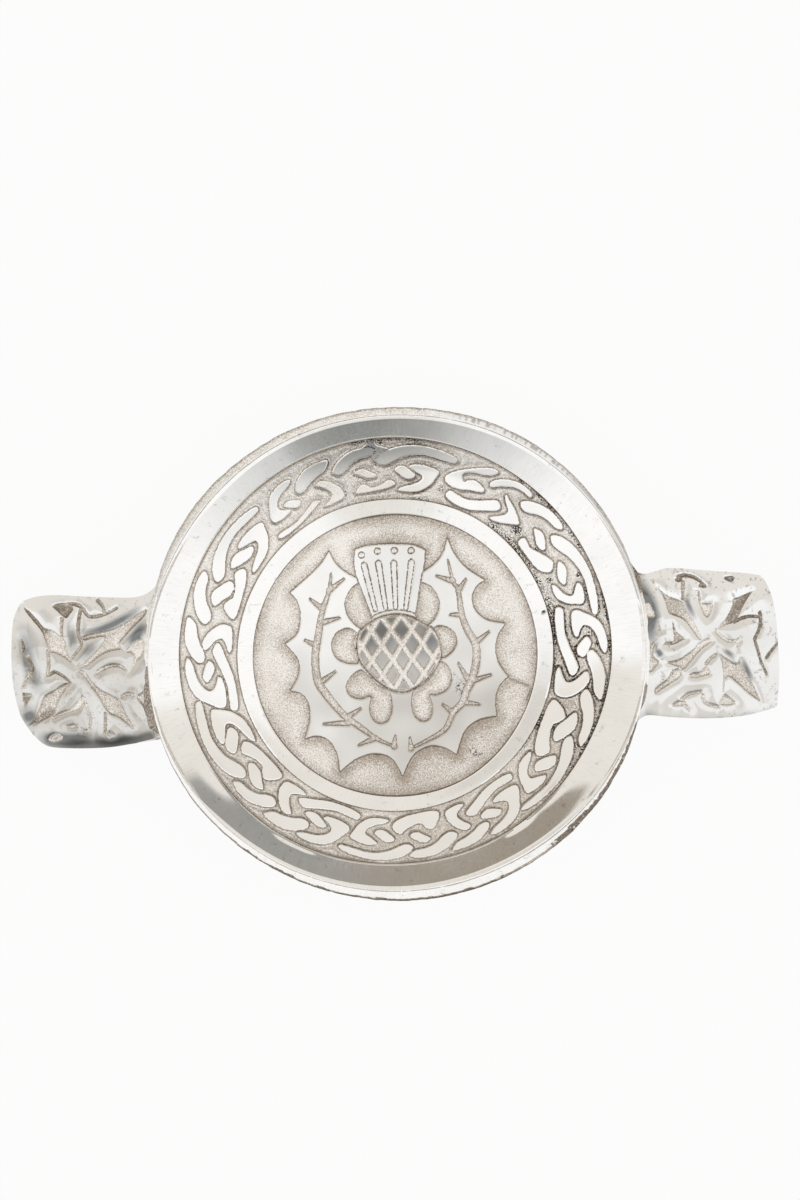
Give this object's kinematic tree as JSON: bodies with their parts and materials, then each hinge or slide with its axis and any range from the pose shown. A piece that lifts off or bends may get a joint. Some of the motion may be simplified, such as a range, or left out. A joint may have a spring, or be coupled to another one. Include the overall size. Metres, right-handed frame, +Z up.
{
  "type": "quaich",
  "caption": "Shallow round pewter drinking bowl on a foot ring, with flat lug handles, a knotwork band and a thistle roundel in relief inside.",
  "frame": {"origin": "on the table under the middle of the bowl", "axes": "+X along the lugs to the right one, +Y towards the thistle's crown, +Z up out of the bowl"},
  "size_m": [0.1534, 0.1, 0.019],
  "materials": {
    "bowl_metal": "polished pewter with fine scratches",
    "relief_metal": "polished high points over a matt grainy ground with brown patina",
    "lug_metal": "polished pewter with rough pockets and brown patina",
    "solder": "dull grey solder with brown tarnish",
    "foot_metal": "satin pewter, turned"
  },
  "bodies": {
    "root": {"bowl": "bowl_metal", "knotwork_band": "relief_metal", "thistle_roundel": "relief_metal", "left_lug": "lug_metal", "right_lug": "lug_metal", "left_lug_solder": "solder", "right_lug_solder": "solder", "foot_ring": "foot_metal", "foot_ring_solder": "solder"}
  },
  "joints": []
}
